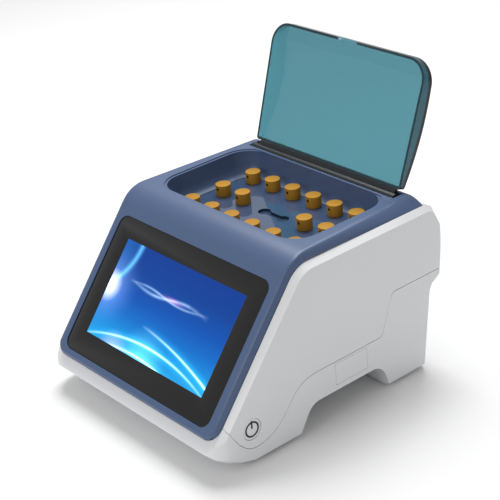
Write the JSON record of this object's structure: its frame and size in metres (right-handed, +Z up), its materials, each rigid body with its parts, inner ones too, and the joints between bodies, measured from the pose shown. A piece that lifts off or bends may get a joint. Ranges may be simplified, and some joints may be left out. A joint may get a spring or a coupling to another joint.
{
  "type": "bench dry block heater",
  "caption": "Bench block heating instrument: sloped touch screen, open well of gold heating posts, rear-hinged see-through lid, side power button.",
  "frame": {"origin": "on the bench under the middle of the whole object with its lid open", "axes": "+X to the right of a person facing the screen, -Y to the front, +Z up"},
  "size_m": [0.225, 0.2737, 0.2614],
  "materials": {
    "white_shell": "satin moulded",
    "blue_cover": "fine satin moulded",
    "teal_lid": "polished, see-through tint",
    "dark_hinge": "satin moulded",
    "black_glass": "polished",
    "display": "lit screen",
    "deep_blue_plate": "blue anodised, polished",
    "gold_post": "satin gold",
    "block_metal": "machined",
    "sheet_steel": "zinc plated",
    "pin_steel": "ground",
    "circuit_board": "solder mask",
    "insulation_foam": "closed cell foam",
    "white_ceramic": "ceramic",
    "black_plastic": "moulded",
    "foot_rubber": "moulded"
  },
  "bodies": {
    "case": {"base_shell": "white_shell", "upper_shell": "white_shell", "side_hatch": "white_shell", "top_cover": "blue_cover", "screen_glass": "black_glass", "display_panel": "display", "block_plate": "deep_blue_plate", "heating_post_01": "gold_post", "heating_post_02": "gold_post", "heating_post_03": "gold_post", "heating_post_04": "gold_post", "heating_post_05": "gold_post", "heating_post_06": "gold_post", "heating_post_07": "gold_post", "heating_post_08": "gold_post", "heating_post_09": "gold_post", "heating_post_10": "gold_post", "heating_post_11": "gold_post", "heating_post_12": "gold_post", "heating_post_13": "gold_post", "heating_post_14": "gold_post", "heating_post_15": "gold_post", "heating_post_16": "gold_post", "heating_block": "block_metal", "heatsink": "block_metal", "screen_bracket": "sheet_steel", "power_supply": "sheet_steel", "switch_bracket": "sheet_steel", "hinge_pin_left": "pin_steel", "hinge_pin_right": "pin_steel", "block_sensor": "pin_steel", "usb_port": "pin_steel", "control_board": "circuit_board", "block_insulation": "insulation_foam", "peltier_left": "white_ceramic", "peltier_right": "white_ceramic", "fan_frame": "black_plastic", "power_switch": "black_plastic", "rear_panel": "black_plastic", "mains_inlet": "black_plastic", "foot_1": "foot_rubber", "foot_2": "foot_rubber", "foot_3": "foot_rubber", "foot_4": "foot_rubber"},
    "lid": {"lid": "teal_lid", "lid_hinge_bar": "dark_hinge"},
    "power_button": {"power_button": "white_shell"},
    "fan_rotor": {"fan_rotor": "black_plastic"}
  },
  "joints": [
    {"name": "lid_hinge", "type": "hinge", "parent": "case", "child": "lid", "pos_m": [0, 0.09033, 0.1542], "axis": [1, 0, 0], "range_deg": [0, 108.8]},
    {"name": "power_button_press", "type": "slide", "parent": "case", "child": "power_button", "axis": [-1, 0, 0], "range_m": [0, 0.0015], "stiffness_N_per_m": 600, "springref_m": -0.001},
    {"name": "fan_spin", "type": "hinge", "parent": "case", "child": "fan_rotor", "pos_m": [0, 0.03352, 0.048], "axis": [0, 0, 1], "continuous": true}
  ]
}
